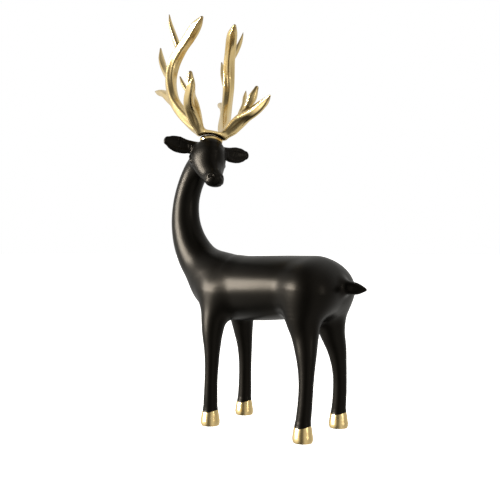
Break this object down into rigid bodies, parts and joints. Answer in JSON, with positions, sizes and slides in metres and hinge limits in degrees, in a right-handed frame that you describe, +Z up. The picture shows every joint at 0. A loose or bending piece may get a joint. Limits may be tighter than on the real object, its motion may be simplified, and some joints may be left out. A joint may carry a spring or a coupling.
{
  "type": "reindeer figurine",
  "caption": "Standing stag figurine in satin black that looks back over its shoulder, with branching gold antlers, gold hooves and a gold crown band.",
  "frame": {"origin": "middle of the overall bounding box in X and Y, on the plane under the hooves", "axes": "+X towards the tail, +Y towards the stag's right side, +Z up"},
  "size_m": [0.2029, 0.1241, 0.3],
  "materials": {
    "satin_black": "cast resin with a satin black coat",
    "pale_gold": "cast resin with a metallic pale gold coat"
  },
  "bodies": {
    "root": {"stag": "satin_black", "antlers": "pale_gold"}
  },
  "joints": []
}
